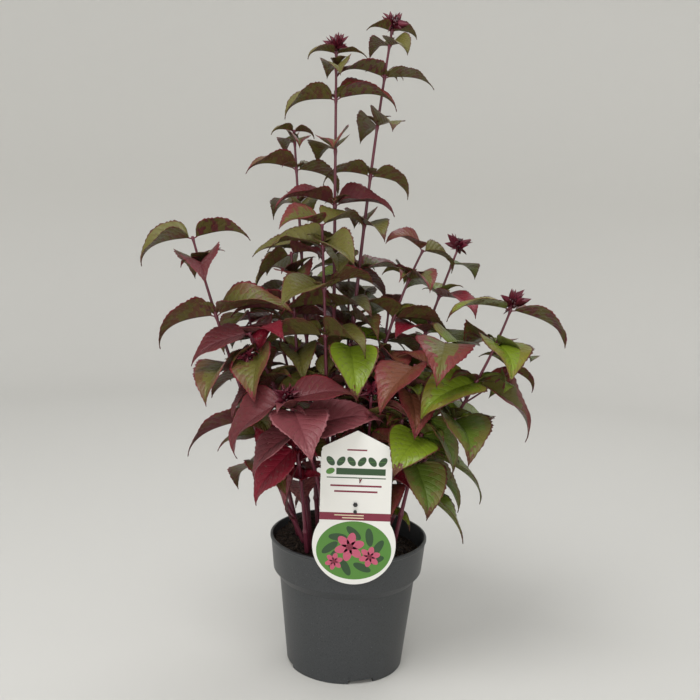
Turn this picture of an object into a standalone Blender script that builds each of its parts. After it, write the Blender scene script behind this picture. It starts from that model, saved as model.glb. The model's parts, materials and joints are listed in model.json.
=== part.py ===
"""Himalayan honeysuckle in a nursery pot.

A clump of canes stands in a grey plastic pot of compost. Each cane is a bare
tapering limb up to its lowest leaves, and from there a mass of foliage: the
stem's leafy part, with opposite pairs of leaves, side twigs and spiky heads
of dark bracts and berries fused on. A card label hangs on a stake in front.
Metres, +Z up. The origin is the centre of the pot's flat underside.
"""

import math
import random
from collections import namedtuple

import bmesh
import bpy
from mathutils import Quaternion, Vector
from mathutils.bvhtree import BVHTree

GAP = 0.0003

# Pot
POT_HEIGHT = 0.1475
POT_RIM_RADIUS = 0.0855
POT_LIP = 0.0012
POT_LIP_HEIGHT = 0.0035
POT_WALL = 0.0018
POT_FLOOR = 0.0025
BAND_HEIGHT = 0.038
BAND_FOOT_RADIUS = 0.0822
SHOULDER_HEIGHT = 0.009
BODY_TOP_RADIUS = 0.0750
BODY_FOOT_RADIUS = 0.0645
FOOT_BEVEL = 0.0012
POT_SIDES = 44
DRAIN_COUNT = 4
DRAIN_WIDTH = 0.028
DRAIN_HEIGHT = 0.0045
DRAIN_DEPTH = 0.012
DRAIN_TURN = math.radians(-73.0)
DRAIN_SPARE = 0.003

# Compost
COMPOST_LEVEL = 0.1330
COMPOST_FALL = 0.085
COMPOST_RINGS = 4
COMPOST_BELOW_RIM = 0.004
HEAP_PLACE = Vector((-0.045, 0.040))
HEAP_HEIGHT = 0.018
HEAP_RADIUS = 0.030

# Label card and its stake
CARD_THICKNESS = 0.0008
CARD_MIDDLE = 0.0055
CARD_WIDTH = 0.0725
CARD_SHOULDER = 0.270
CARD_PEAK = 0.2870
CARD_CORNER = 0.004
DISC_RADIUS = 0.0430
DISC_CENTRE = 0.1665
DISC_ARC_STEPS = 22
PEG_HEIGHT = 0.2095
PEG_DROP = 0.0075
STAKE_RADIUS = 0.0015
STAKE_FOOT = Vector((0.0055, -0.0640, 0.098))
STAKE_BEHIND = 0.0045
PEG_HEAD_RADIUS = 0.0024
PEG_HEAD_LENGTH = 0.0020
PEG_NECK_RADIUS = 0.0012

# Stems and leaves
CANE_FOOT_RADIUS = 0.0029
CANE_TIP_RADIUS = 0.0012
CANE_STEP = 0.045
FOOT_SPREAD = 1.3
TWIG_RADIUS = 0.0010
TWIG_UPTURN = 0.15
TWIG_STEPS = 20
TWIG_TIP_LEAF = 0.9
BARE_BELOW_LEAVES = 0.012
LEAF_THICKNESS = 0.0014
PETIOLE_SHARE = 0.07
PETIOLE_RADIUS = 0.0007
PETIOLE_LIFT = 28.0
LEAF_WIDTH_SHARE = 0.72
HANG_WIDTH = 0.003
UPRIGHT_HANG = 12
UPRIGHT_FOLD = 18
LEAF_STATIONS = (0.12, 0.42, 0.76)
STATION_FULLNESS = 1.08
LEAF_STEPS = 24
LEAN_SHARE = 0.7
DODGES = (
    (0, 0), (14, 4), (-14, 4), (8, -14), (-8, -14), (26, 10), (-26, 10), (40, -8), (-40, -8),
    (0, 24), (20, 30), (-20, 30), (20, -30), (-20, -30), (60, 0), (-60, 0), (0, -40), (0, 44),
)
DODGE_SIZES = (1.0, 0.8, 0.62)
CLEARANCE = 0.0009
STALK_FACES = 10
BLADES = " blades"
HEAD_RADIUS = 0.0065
HEAD_BRACTS = 9
BRACT_LENGTH = 0.0150
BRACT_RADIUS = 0.0024
BRACT_TURN = 2.399963
HEART_SHARE = 0.7

# A twig on a shoot: where it leaves as a share of the leafy length from the
# tip, its heading and rise in degrees, its length, its pairs of leaves, their
# length and whether it ends in a head.
Twig = namedtuple("Twig", "at heading rise length pairs leaf head")

# One shoot of the clump. foot and tip are places, bend holds the shares of
# the sideways and upward travel at which the curve's control point stands.
# pairs of leaves follow from the tip down: the first after top_gap, the rest
# up to gap apart, opening out by a share of it from one to the next. turn is
# the heading of the top pair, leaf the blade's length, tip_leaf the share of
# it that the top pair has, and hang how many degrees the leaves sag at most.
Shoot = namedtuple(
    "Shoot", "name foot tip bend pairs top_gap gap opening turn leaf tip_leaf hang head twigs"
)

SHOOTS = (
    Shoot("tall_right", (-0.013, 0.008), (0.027, 0.022, 0.692), (0.12, 0.50),
          8, 0.003, 0.050, 0.33, 20, 0.057, 0.52, 9, "up", ()),
    Shoot("tall_centre", (-0.018, -0.004), (-0.030, -0.008, 0.664), (0.50, 0.50),
          8, 0.003, 0.053, 0.30, 192, 0.064, 0.52, 8, "up", ()),
    Shoot("tall_left", (-0.034, 0.018), (-0.074, 0.036, 0.586), (0.50, 0.50),
          7, 0.002, 0.046, 0.30, 200, 0.058, 0.45, 6, "", ()),
    Shoot("inner_left", (-0.042, 0.000), (-0.072, 0.008, 0.457), (0.60, 0.50),
          5, 0.003, 0.040, 0.60, 190, 0.068, 0.90, 5, "", ()),
    Shoot("front_centre", (-0.022, -0.030), (-0.038, -0.050, 0.490), (0.30, 0.50),
          6, 0.002, 0.048, 0.43, 215, 0.070, 0.85, 5, "", ()),
    Shoot("far_left", (-0.048, -0.012), (-0.172, -0.030, 0.472), (0.62, 0.50),
          6, 0.003, 0.056, 0.50, 5, 0.078, 0.80, 10, "", ()),
    Shoot("left_inner", (-0.042, -0.026), (-0.110, -0.047, 0.376), (0.10, 0.50),
          5, 0.002, 0.036, 0.60, 160, 0.068, 0.95, 20, "",
          (Twig(0.10, 240, -25, 0.016, 0, 0.0, "hang"),)),
    Shoot("far_right", (-0.002, -0.016), (0.158, -0.050, 0.412), (0.75, 0.52),
          7, 0.004, 0.044, 0.95, 5, 0.084, 0.88, 22, "up",
          (Twig(0.42, 12, 30, 0.075, 4, 0.040, ""),)),
    Shoot("inner_right", (0.004, 0.006), (0.070, 0.020, 0.463), (0.05, 0.60),
          6, 0.002, 0.042, 0.90, 20, 0.066, 0.75, 8, "",
          (Twig(0.66, 340, 10, 0.018, 0, 0.0, "hang"),)),
    Shoot("rear_right", (0.018, 0.024), (0.110, 0.050, 0.462), (0.35, 0.50),
          6, 0.018, 0.044, 0.90, 40, 0.072, 0.75, 12, "up", ()),
    Shoot("front_left", (-0.018, -0.044), (-0.065, -0.100, 0.318), (0.30, 0.60),
          3, 0.002, 0.032, 0.40, 190, 0.078, 1.00, 24, "up", ()),
    Shoot("low_left", (-0.044, -0.038), (-0.056, -0.078, 0.266), (0.40, 0.50),
          4, 0.002, 0.024, 0.30, 215, 0.070, 1.00, 55, "", ()),
    Shoot("centre", (0.010, -0.033), (-0.006, -0.030, 0.366), (0.50, 0.50),
          5, 0.003, 0.036, 0.90, 250, 0.070, 1.00, 35, "", ()),
    Shoot("front_right", (0.016, -0.044), (0.018, -0.066, 0.318), (0.40, 0.60),
          4, 0.006, 0.028, 0.90, 20, 0.056, 1.00, 5, "up", ()),
    Shoot("right_inner", (0.024, -0.034), (0.062, -0.052, 0.350), (0.50, 0.50),
          5, 0.003, 0.036, 0.80, 30, 0.076, 1.00, 34, "", ()),
    Shoot("mid_right", (0.034, -0.014), (0.094, -0.040, 0.372), (0.45, 0.50),
          5, 0.003, 0.040, 0.80, 75, 0.078, 1.00, 24, "", ()),
    Shoot("low_right", (0.036, 0.002), (0.096, -0.010, 0.330), (0.55, 0.50),
          4, 0.003, 0.036, 0.80, 60, 0.074, 1.00, 28, "", ()),
    Shoot("low_front_right", (0.046, -0.032), (0.076, -0.062, 0.300), (0.45, 0.50),
          3, 0.002, 0.032, 0.80, 320, 0.066, 1.00, 32, "", ()),
    Shoot("mid_left", (-0.056, 0.012), (-0.118, 0.010, 0.392), (0.50, 0.50),
          5, 0.003, 0.038, 0.80, 210, 0.070, 1.00, 22, "", ()),
    Shoot("centre_back", (0.014, 0.014), (0.036, 0.036, 0.395), (0.50, 0.50),
          5, 0.003, 0.040, 0.80, 100, 0.074, 0.90, 20, "", ()),
    Shoot("rear_left", (-0.026, 0.038), (-0.100, 0.085, 0.400), (0.50, 0.50),
          5, 0.003, 0.038, 0.80, 130, 0.070, 0.90, 24, "", ()),
    Shoot("rear_centre", (-0.002, 0.034), (-0.010, 0.092, 0.430), (0.50, 0.50),
          5, 0.004, 0.040, 0.80, 20, 0.070, 0.80, 18, "up", ()),
    Shoot("rear_far_right", (0.030, 0.042), (0.095, 0.105, 0.350), (0.50, 0.50),
          5, 0.003, 0.036, 0.80, 70, 0.070, 1.00, 32, "", ()),
    Shoot("rear_low", (-0.010, 0.050), (-0.040, 0.108, 0.300), (0.50, 0.50),
          5, 0.003, 0.032, 0.80, 160, 0.068, 1.00, 40, "", ()),
)


def clear_scene():
    """Remove every object, so that the model starts from nothing."""
    for thing in list(bpy.data.objects):
        bpy.data.objects.remove(thing, do_unlink=True)


def new_collection(name):
    """A collection linked to the scene."""
    collection = bpy.data.collections.new(name)
    bpy.context.scene.collection.children.link(collection)
    return collection


def new_material(name, colour, roughness, metallic=0.0):
    """A Principled material of one colour."""
    material = bpy.data.materials.new(name)
    material.use_nodes = True
    shader = material.node_tree.nodes["Principled BSDF"]
    shader.inputs["Base Color"].default_value = (*colour, 1.0)
    shader.inputs["Roughness"].default_value = roughness
    shader.inputs["Metallic"].default_value = metallic
    return material


def new_object(name, mesh, collection, material=None):
    """An object for a mesh or curve, in a collection and with a material."""
    thing = bpy.data.objects.new(name, mesh)
    collection.objects.link(thing)
    if material:
        mesh.materials.append(material)
    return thing


def mesh_from(name, points, faces):
    """A mesh of the given points and faces."""
    mesh = bpy.data.meshes.new(name)
    mesh.from_pydata([tuple(p) for p in points], [], faces)
    mesh.update()
    return mesh


def turned(name, profile, collection, material):
    """A solid of revolution. The profile holds radius and height pairs, and runs down the outer side."""
    points = [(radius, 0.0, height) for radius, height in profile]
    edges = [(i, i + 1) for i in range(len(points) - 1)]
    mesh = bpy.data.meshes.new(name)
    mesh.from_pydata(points, edges, [])
    thing = new_object(name, mesh, collection, material)
    screw = thing.modifiers.new("turn", "SCREW")
    screw.steps = screw.render_steps = POT_SIDES
    screw.use_merge_vertices = True
    screw.merge_threshold = 0.00001
    return thing


def evaluated_mesh(thing):
    """The object's mesh with its modifiers applied."""
    graph = bpy.context.evaluated_depsgraph_get()
    return bpy.data.meshes.new_from_object(thing.evaluated_get(graph))


def hide_cutter(thing):
    """Mark an object as a cutter."""
    thing.hide_render = True
    thing.display_type = "WIRE"


def cut(thing, cutter):
    """Cut one object from another with a Boolean."""
    modifier = thing.modifiers.new("cut " + cutter.name, "BOOLEAN")
    modifier.operation = "DIFFERENCE"
    modifier.object = cutter


def make_pot(collection, cutters, material):
    """The moulded pot: floor, tapering body, shoulder, upper band and lip, with drain notches."""
    band_foot = POT_HEIGHT - BAND_HEIGHT
    body_top = band_foot - SHOULDER_HEIGHT
    inner_foot = BODY_FOOT_RADIUS - POT_WALL
    profile = (
        (0.0, POT_FLOOR),
        (inner_foot, POT_FLOOR),
        (BODY_TOP_RADIUS - POT_WALL, body_top),
        (BAND_FOOT_RADIUS - POT_WALL, band_foot),
        (POT_RIM_RADIUS - POT_WALL, POT_HEIGHT),
        (POT_RIM_RADIUS + POT_LIP, POT_HEIGHT),
        (POT_RIM_RADIUS + POT_LIP, POT_HEIGHT - POT_LIP_HEIGHT),
        (POT_RIM_RADIUS, POT_HEIGHT - POT_LIP_HEIGHT - POT_LIP),
        (BAND_FOOT_RADIUS, band_foot),
        (BODY_TOP_RADIUS, body_top),
        (BODY_FOOT_RADIUS, FOOT_BEVEL),
        (BODY_FOOT_RADIUS - FOOT_BEVEL, 0.0),
        (0.0, 0.0),
    )
    pot = turned("pot", profile, collection, material)
    for i in range(DRAIN_COUNT):
        angle = DRAIN_TURN - math.pi / 2 + i * 2 * math.pi / DRAIN_COUNT
        reach = BODY_FOOT_RADIUS - DRAIN_DEPTH / 2 + DRAIN_SPARE
        bpy.ops.mesh.primitive_cube_add(size=1.0)
        notch = bpy.context.object
        notch.name = f"drain_notch_{i}"
        notch.dimensions = (DRAIN_DEPTH + 2 * DRAIN_SPARE, DRAIN_WIDTH, 2 * DRAIN_HEIGHT)
        notch.location = (reach * math.cos(angle), reach * math.sin(angle), 0.0)
        notch.rotation_euler.z = angle
        for owner in notch.users_collection:
            owner.objects.unlink(notch)
        cutters.objects.link(notch)
        hide_cutter(notch)
        cut(pot, notch)
    return pot


def compost_height(x, y):
    """Height of the compost's surface: a gentle fall to the right, and a heap at the back left."""
    away = (Vector((x, y)) - HEAP_PLACE).length / HEAP_RADIUS
    heap = HEAP_HEIGHT * max(0.0, 1.0 - away * away) ** 2
    return COMPOST_LEVEL - COMPOST_FALL * x + heap


def inner_radius(height):
    """The pot's inner radius at a height on its upper band."""
    share = (height - (POT_HEIGHT - BAND_HEIGHT)) / BAND_HEIGHT
    return BAND_FOOT_RADIUS - POT_WALL + share * (POT_RIM_RADIUS - BAND_FOOT_RADIUS)


def make_compost(collection, cutters, material):
    """The compost that fills the pot, its top raked by hand and bored for the label's stake."""
    band_foot = POT_HEIGHT - BAND_HEIGHT
    body_top = band_foot - SHOULDER_HEIGHT
    outer = inner_radius(COMPOST_LEVEL) - GAP
    rings = [(outer * i / COMPOST_RINGS, COMPOST_LEVEL) for i in range(COMPOST_RINGS + 1)]
    profile = rings + [
        (BAND_FOOT_RADIUS - POT_WALL - GAP, band_foot + GAP),
        (BODY_TOP_RADIUS - POT_WALL - GAP, body_top + GAP),
        (BODY_FOOT_RADIUS - POT_WALL - GAP, POT_FLOOR + GAP),
        (0.0, POT_FLOOR + GAP),
    ]
    turned_fill = turned("compost_turned", profile, collection, None)
    mesh = evaluated_mesh(turned_fill)
    bpy.data.objects.remove(turned_fill)
    for vertex in mesh.vertices:
        if vertex.co.z > COMPOST_LEVEL - 0.001:
            height = compost_height(vertex.co.x, vertex.co.y)
            flat = Vector((vertex.co.x, vertex.co.y))
            if flat.length > outer - 0.001:
                height = min(height, POT_HEIGHT - COMPOST_BELOW_RIM)
                flat *= (inner_radius(height) - GAP) / flat.length
            vertex.co = (flat.x, flat.y, height)
    mesh.name = "compost"
    compost = new_object("compost", mesh, collection, material)
    bore = tube("stake_bore", stake_path(GAP), STAKE_RADIUS + GAP, cutters, None)
    hide_cutter(bore)
    cut(compost, bore)
    return compost


def tube(name, path, radius, collection, material, resolution=1):
    """A round rod of even or tapering radius along a path, as a welded mesh object."""
    curve = bpy.data.curves.new(name, "CURVE")
    curve.dimensions = "3D"
    curve.bevel_depth = 1.0
    curve.bevel_resolution = resolution
    curve.use_fill_caps = True
    spline = curve.splines.new("POLY")
    spline.points.add(len(path) - 1)
    for i, point in enumerate(path):
        spline.points[i].co = (*point, 1.0)
        spline.points[i].radius = radius(i / (len(path) - 1)) if callable(radius) else radius
    guide = bpy.data.objects.new(name + "_guide", curve)
    collection.objects.link(guide)
    mesh = evaluated_mesh(guide)
    bpy.data.objects.remove(guide)
    bpy.data.curves.remove(curve)
    shape = bmesh.new()
    shape.from_mesh(mesh)
    bmesh.ops.remove_doubles(shape, verts=shape.verts, dist=0.00001)
    bmesh.ops.triangulate(shape, faces=[f for f in shape.faces if len(f.verts) > 4])
    shape.to_mesh(mesh)
    shape.free()
    mesh.name = name
    mesh.materials.clear()
    return new_object(name, mesh, collection, material)


def card_back():
    """How far forward the back of the card stands, just clear of the pot's lip."""
    return -(POT_RIM_RADIUS + POT_LIP + GAP)


def stake_path(spare=0.0):
    """The stake's axis, from its foot in the compost to its head behind the card. spare lengthens the foot."""
    top = Vector((CARD_MIDDLE, card_back() + STAKE_BEHIND, PEG_HEIGHT))
    lean = (top - STAKE_FOOT).normalized()
    return (STAKE_FOOT - lean * spare, top)


def make_label(collection, cutters, card_material, stake_material):
    """The label: a card with a round foot, held by two pegs on a plastic stake."""
    half = CARD_WIDTH / 2
    drop = math.sqrt(DISC_RADIUS**2 - half**2)
    start = math.atan2(drop, half)
    outline = [(-half, CARD_SHOULDER - CARD_CORNER), (-half + CARD_CORNER, CARD_SHOULDER), (0.0, CARD_PEAK)]
    outline += [(half - CARD_CORNER, CARD_SHOULDER), (half, CARD_SHOULDER - CARD_CORNER)]
    sweep = math.pi + 2 * start
    for i in range(DISC_ARC_STEPS + 1):
        angle = start - sweep * i / DISC_ARC_STEPS
        outline.append((DISC_RADIUS * math.cos(angle), DISC_CENTRE + DISC_RADIUS * math.sin(angle)))
    curve = bpy.data.curves.new("label_card", "CURVE")
    curve.dimensions = "2D"
    curve.fill_mode = "BOTH"
    curve.extrude = CARD_THICKNESS / 2
    spline = curve.splines.new("POLY")
    spline.points.add(len(outline) - 1)
    for i, (x, z) in enumerate(outline):
        spline.points[i].co = (x, z, 0.0, 1.0)
    spline.use_cyclic_u = True
    guide = bpy.data.objects.new("label_card_guide", curve)
    collection.objects.link(guide)
    mesh = evaluated_mesh(guide)
    bpy.data.objects.remove(guide)
    shape = bmesh.new()
    shape.from_mesh(mesh)
    bmesh.ops.remove_doubles(shape, verts=shape.verts, dist=0.00001)
    for vertex in shape.verts:
        x, z, depth = vertex.co
        vertex.co = (x + CARD_MIDDLE, card_back() - CARD_THICKNESS / 2 - depth, z)
    shape.to_mesh(mesh)
    shape.free()
    mesh.name = "label_card"
    mesh.materials.clear()
    card = new_object("label_card", mesh, collection, card_material)

    front = card_back() - CARD_THICKNESS
    pegs = []
    for i in range(2):
        height = PEG_HEIGHT - i * PEG_DROP
        behind = Vector((CARD_MIDDLE, card_back() + STAKE_BEHIND, height))
        shoulder = Vector((CARD_MIDDLE, front - GAP, height))
        end = Vector((CARD_MIDDLE, front - GAP - PEG_HEAD_LENGTH, height))
        pegs.append(tube(f"peg_neck_{i}", [behind, end], PEG_NECK_RADIUS, cutters, None))
        pegs.append(tube(f"peg_head_{i}", [shoulder, end], PEG_HEAD_RADIUS * (1 - 0.2 * i), cutters, None))
        hole = [behind, end]
        bore = tube(f"peg_hole_{i}", hole, PEG_NECK_RADIUS + GAP, cutters, None)
        hide_cutter(bore)
        cut(card, bore)
    rod = tube("label_stake", stake_path(), STAKE_RADIUS, collection, stake_material)
    fuse(rod, pegs)
    return card, rod


def fuse(target, others):
    """Join the other objects to the target with one Boolean union, then drop them and any loose scrap."""
    group = bpy.data.collections.new("to_fuse")
    bpy.context.scene.collection.children.link(group)
    for thing in others:
        for owner in thing.users_collection:
            owner.objects.unlink(thing)
        group.objects.link(thing)
    modifier = target.modifiers.new("fuse", "BOOLEAN")
    modifier.operation = "UNION"
    modifier.operand_type = "COLLECTION"
    modifier.collection = group
    modifier.solver = "MANIFOLD"
    mesh = evaluated_mesh(target)
    target.modifiers.remove(modifier)
    for thing in others:
        bpy.data.objects.remove(thing)
    bpy.data.collections.remove(group)
    keep_largest_body(mesh)
    materials = list(target.data.materials)
    target.data = mesh
    mesh.materials.clear()
    for material in materials:
        mesh.materials.append(material)


def keep_largest_body(mesh):
    """Delete every body of a mesh but the largest, so that sealed hollows fill and scraps go."""
    shape = bmesh.new()
    shape.from_mesh(mesh)
    left = set(shape.verts)
    bodies = []
    while left:
        reached = {left.pop()}
        edge = list(reached)
        while edge:
            vertex = edge.pop()
            for link in vertex.link_edges:
                other = link.other_vert(vertex)
                if other not in reached:
                    reached.add(other)
                    edge.append(other)
        left -= reached
        bodies.append(reached)
    bodies.sort(key=len)
    for body in bodies[:-1]:
        bmesh.ops.delete(shape, geom=list(body), context="VERTS")
    shape.to_mesh(mesh)
    shape.free()


def direction(heading, rise):
    """A unit vector of a heading and a rise above level, both in degrees."""
    flat, up = math.radians(heading), math.radians(rise)
    return Vector((math.cos(up) * math.cos(flat), math.cos(up) * math.sin(flat), math.sin(up)))


def shoot_point(shoot, foot_height, share):
    """A place on a shoot's curve, from its foot at share 0 to its tip at 1."""
    foot = Vector((*shoot.foot, foot_height))
    tip = Vector(shoot.tip)
    reach, rise = shoot.bend
    across = foot + (tip - foot) * reach
    middle = Vector((across.x, across.y, foot_height + (tip.z - foot_height) * rise))
    return foot * (1 - share) ** 2 + middle * 2 * share * (1 - share) + tip * share**2


def curve_table(shoot, foot_height, steps=200):
    """Points along a shoot with the length passed at each."""
    points = [shoot_point(shoot, foot_height, i / steps) for i in range(steps + 1)]
    lengths = [0.0]
    for before, after in zip(points, points[1:]):
        lengths.append(lengths[-1] + (after - before).length)
    return points, lengths


def point_at(table, length):
    """The point of a curve table at a length from its foot."""
    points, lengths = table
    length = min(max(length, 0.0), lengths[-1])
    for i in range(1, len(points)):
        if lengths[i] >= length:
            part = (length - lengths[i - 1]) / (lengths[i] - lengths[i - 1])
            return points[i - 1].lerp(points[i], part)
    return points[-1].copy()


def lean_at(table, length):
    """The turn that tips a leaf from upright part of the way to the stem's own lean."""
    way = point_at(table, length) - point_at(table, length - 0.010)
    lean = Vector((0, 0, 1)).rotation_difference(way.normalized())
    return Quaternion().slerp(lean, LEAN_SHARE)


def blade_half_width(along):
    """Half the width of an ovate leaf with a long drawn tip, as a share of its widest half, from 0 to 1 along."""
    if along <= 0.0 or along >= 1.0:
        return 0.0
    return math.sin(math.pi * along**0.6) * (1.0 - along) ** 0.35 / 0.886


Pose = namedtuple("Pose", "root lean heading rise droop sweep roll fold length width")


def leaf_frames(pose, stations):
    """Centre, side and normal of a leaf's blade at each station from 0 at its base to 1 at its tip."""
    centre = direction(pose.heading, pose.rise + PETIOLE_LIFT) * pose.length * PETIOLE_SHARE
    frames = []
    step = pose.length / LEAF_STEPS
    reached = 0
    for station in stations:
        while reached < round(station * LEAF_STEPS):
            centre = centre + blade_direction(pose, (reached + 0.5) / LEAF_STEPS) * step
            reached += 1
        ahead = blade_direction(pose, station)
        heading = math.radians(pose.heading + pose.sweep * station)
        level = Vector((-math.sin(heading), math.cos(heading), 0.0))
        roll = math.radians(pose.roll)
        side = level * math.cos(roll) + ahead.cross(level) * math.sin(roll)
        normal = ahead.cross(side)
        frames.append((pose.root + pose.lean @ centre, pose.lean @ side, pose.lean @ normal))
    return frames


def blade_direction(pose, along):
    """The way a leaf's midrib runs at a share of its length: it arches over and hangs at its tip."""
    drop = pose.droop * (0.15 * along + 0.85 * along**3)
    return direction(pose.heading + pose.sweep * along, pose.rise - drop)


def leaf_solid(pose, grow=0.0):
    """Points and triangles of a thin solid leaf with its stalk. grow swells it for clearance tests."""
    stem_side = pose.lean @ direction(pose.heading + 90.0, 0.0)
    lift = pose.lean @ direction(pose.heading, pose.rise + PETIOLE_LIFT + 90.0)
    radius = PETIOLE_RADIUS + grow
    frames = leaf_frames(pose, (0.0,) + LEAF_STATIONS + (1.0,))
    base = frames[0][0]
    points = []
    for centre in (pose.root, base):
        points += [centre + stem_side * radius, centre + lift * radius]
        points += [centre - stem_side * radius, centre - lift * radius]
    for station, (centre, side, normal) in zip(LEAF_STATIONS, frames[1:-1]):
        half = pose.width / 2 * blade_half_width(station) * STATION_FULLNESS + grow
        fold = math.radians(pose.fold * (1 - 0.6 * station))
        out, up = side * half * math.cos(fold), normal * half * math.sin(fold)
        thick = LEAF_THICKNESS * (1.15 - 0.5 * station)
        points += [centre + out + up, centre + normal * grow]
        points += [centre - out + up, centre - normal * (thick + grow)]
    points.append(frames[-1][0])
    faces = [(0, 2, 1), (0, 3, 2)]
    rings = 2 + len(LEAF_STATIONS)
    for ring in range(rings - 1):
        a, b = 4 * ring, 4 * ring + 4
        for edge, middle in ((0, 1), (2, 1), (0, 3), (2, 3)):
            quad = (a + edge, a + middle, b + middle, b + edge)
            if (edge, middle) in ((2, 1), (0, 3)):
                faces += [(quad[0], quad[2], quad[1]), (quad[0], quad[3], quad[2])]
            else:
                faces += [(quad[0], quad[1], quad[2]), (quad[0], quad[2], quad[3])]
    last, tip = 4 * (rings - 1), 4 * rings
    faces += [(last + i, last + (i + 1) % 4, tip) for i in range(4)]
    return points, faces


def tree_of(points, faces):
    """A search tree of a set of triangles."""
    return BVHTree.FromPolygons([tuple(p) for p in points], faces)


class Space:
    """What is already standing, so that a leaf or twig can be tested against it."""

    def __init__(self):
        self.trees = []

    def add(self, owner, points, faces, stalk_faces=0):
        """Add a solid. Its stalk's faces are the first, which its own shoot may touch."""
        self.trees.append((owner, tree_of(points, faces)))
        if stalk_faces:
            self.trees.append((owner + BLADES, tree_of(points, faces[stalk_faces:])))

    def drop(self, owner):
        self.trees = [t for t in self.trees if t[0] not in (owner, owner + BLADES)]

    def add_object(self, owner, thing):
        mesh = evaluated_mesh(thing)
        mesh.calc_loop_triangles()
        faces = [tuple(t.vertices) for t in mesh.loop_triangles]
        self.add(owner, [v.co for v in mesh.vertices], faces)

    def is_free(self, points, faces, owner):
        """True if a leaf touches no other shoot, and its blade no blade of its own shoot."""
        whole = tree_of(points, faces)
        blade = tree_of(points, faces[STALK_FACES:])
        for other, there in self.trees:
            if other == owner:
                continue
            if (blade if other == owner + BLADES else whole).overlap(there):
                return False
        return True


def leaf_pose(chance, root, lean, heading, length, hang):
    """One leaf's pose, with the small differences that chance gives it."""
    return Pose(
        root=root,
        lean=lean,
        heading=heading + chance.uniform(-9, 9),
        rise=chance.uniform(4, 22) - hang * chance.uniform(0.3, 1.0),
        droop=chance.uniform(60, 100),
        sweep=chance.uniform(-16, 16),
        roll=chance.uniform(-20, 20),
        fold=chance.uniform(12, 30) + (UPRIGHT_FOLD if hang < UPRIGHT_HANG else 0),
        length=length * chance.uniform(0.90, 1.10),
        width=length * (LEAF_WIDTH_SHARE + HANG_WIDTH * hang) * chance.uniform(0.92, 1.08),
    )


def place_leaf(pose, owner, space):
    """The first pose near the wanted one that touches nothing, in full size or smaller, or None."""
    for size in DODGE_SIZES:
        for turn, lift in DODGES:
            moved = pose._replace(
                heading=pose.heading + turn,
                rise=pose.rise + lift,
                length=pose.length * size,
                width=pose.width * size,
            )
            points, faces = leaf_solid(moved, CLEARANCE)
            if space.is_free(points, faces, owner):
                return moved
    return None


def make_head(name, place, way, chance, collection):
    """A flower head: a core of berries with drawn bracts standing round it. Returns loose solids."""
    shape = bmesh.new()
    bmesh.ops.create_icosphere(shape, subdivisions=1, radius=HEAD_RADIUS)
    for vertex in shape.verts:
        vertex.co += place + way * HEAD_RADIUS * HEART_SHARE
    mesh = bpy.data.meshes.new(name)
    shape.to_mesh(mesh)
    shape.free()
    solids = [new_object(name, mesh, collection)]
    heart = place + way * HEAD_RADIUS * HEART_SHARE
    side = way.orthogonal().normalized()
    cross = way.cross(side)
    for i in range(HEAD_BRACTS):
        turn = i * BRACT_TURN
        spread = math.radians(chance.uniform(25, 95))
        flat = side * math.cos(turn) + cross * math.sin(turn)
        ahead = (way * math.cos(spread) + flat * math.sin(spread)).normalized()
        tip = heart + ahead * BRACT_LENGTH * chance.uniform(0.85, 1.25)
        across = ahead.orthogonal().normalized()
        third = ahead.cross(across)
        foot = heart + ahead * HEAD_RADIUS * 0.3
        ring = []
        for k in range(3):
            corner = 2 * math.pi * k / 3
            ring.append(foot + (across * math.cos(corner) + third * math.sin(corner)) * BRACT_RADIUS)
        faces = [(0, 2, 1), (0, 1, 3), (1, 2, 3), (2, 0, 3)]
        solids.append(new_object(f"{name}_bract_{i}", mesh_from(name, ring + [tip], faces), collection))
    return solids


def add_pairs(name, table, top, gaps, turn, leaf, tip_leaf, hang, chance, space, collection):
    """Opposite pairs of leaves down a stem, each pair turned square to the last. Returns solids."""
    solids = []
    along = top
    for i, gap in enumerate(gaps):
        along -= gap
        root = point_at(table, along)
        lean = lean_at(table, along)
        size = leaf * min(1.0, tip_leaf + (1.0 - tip_leaf) * i / 2)
        for half in (0, 180):
            pose = leaf_pose(chance, root, lean, turn + 90 * i + half, size, hang)
            placed = place_leaf(pose, name, space)
            if placed is None:
                continue
            points, faces = leaf_solid(placed)
            space.add(name, points, faces, STALK_FACES)
            solids.append(new_object(f"{name}_leaf", mesh_from(name, points, faces), collection))
    return solids


def pair_gaps(shoot, chance):
    """The distances from the tip to the first pair and between the pairs."""
    gaps = [shoot.top_gap]
    for i in range(1, shoot.pairs):
        gaps.append(shoot.gap * min(1.0, shoot.opening * i) * chance.uniform(0.92, 1.08))
    return gaps


def cane_radius(share):
    """A cane's radius at a share of its whole length."""
    return CANE_FOOT_RADIUS + (CANE_TIP_RADIUS - CANE_FOOT_RADIUS) * share**0.8


def limb(name, table, start, end, collection, material):
    """The stretch of a cane between two lengths, as a tapering rod."""
    whole = table[1][-1]
    steps = max(2, math.ceil((end - start) / CANE_STEP))
    path = [point_at(table, start + (end - start) * i / steps) for i in range(steps + 1)]

    def radius(share):
        return cane_radius((start + (end - start) * share) / whole)

    return tube(name, path, radius, collection, material)


def level_foot(cane, height):
    """Level the foot of a cane, which its curve would cut square to its lean."""
    lowest = sorted(cane.data.vertices, key=lambda v: v.co.z)[:6]
    for vertex in lowest:
        vertex.co.z = height


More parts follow.
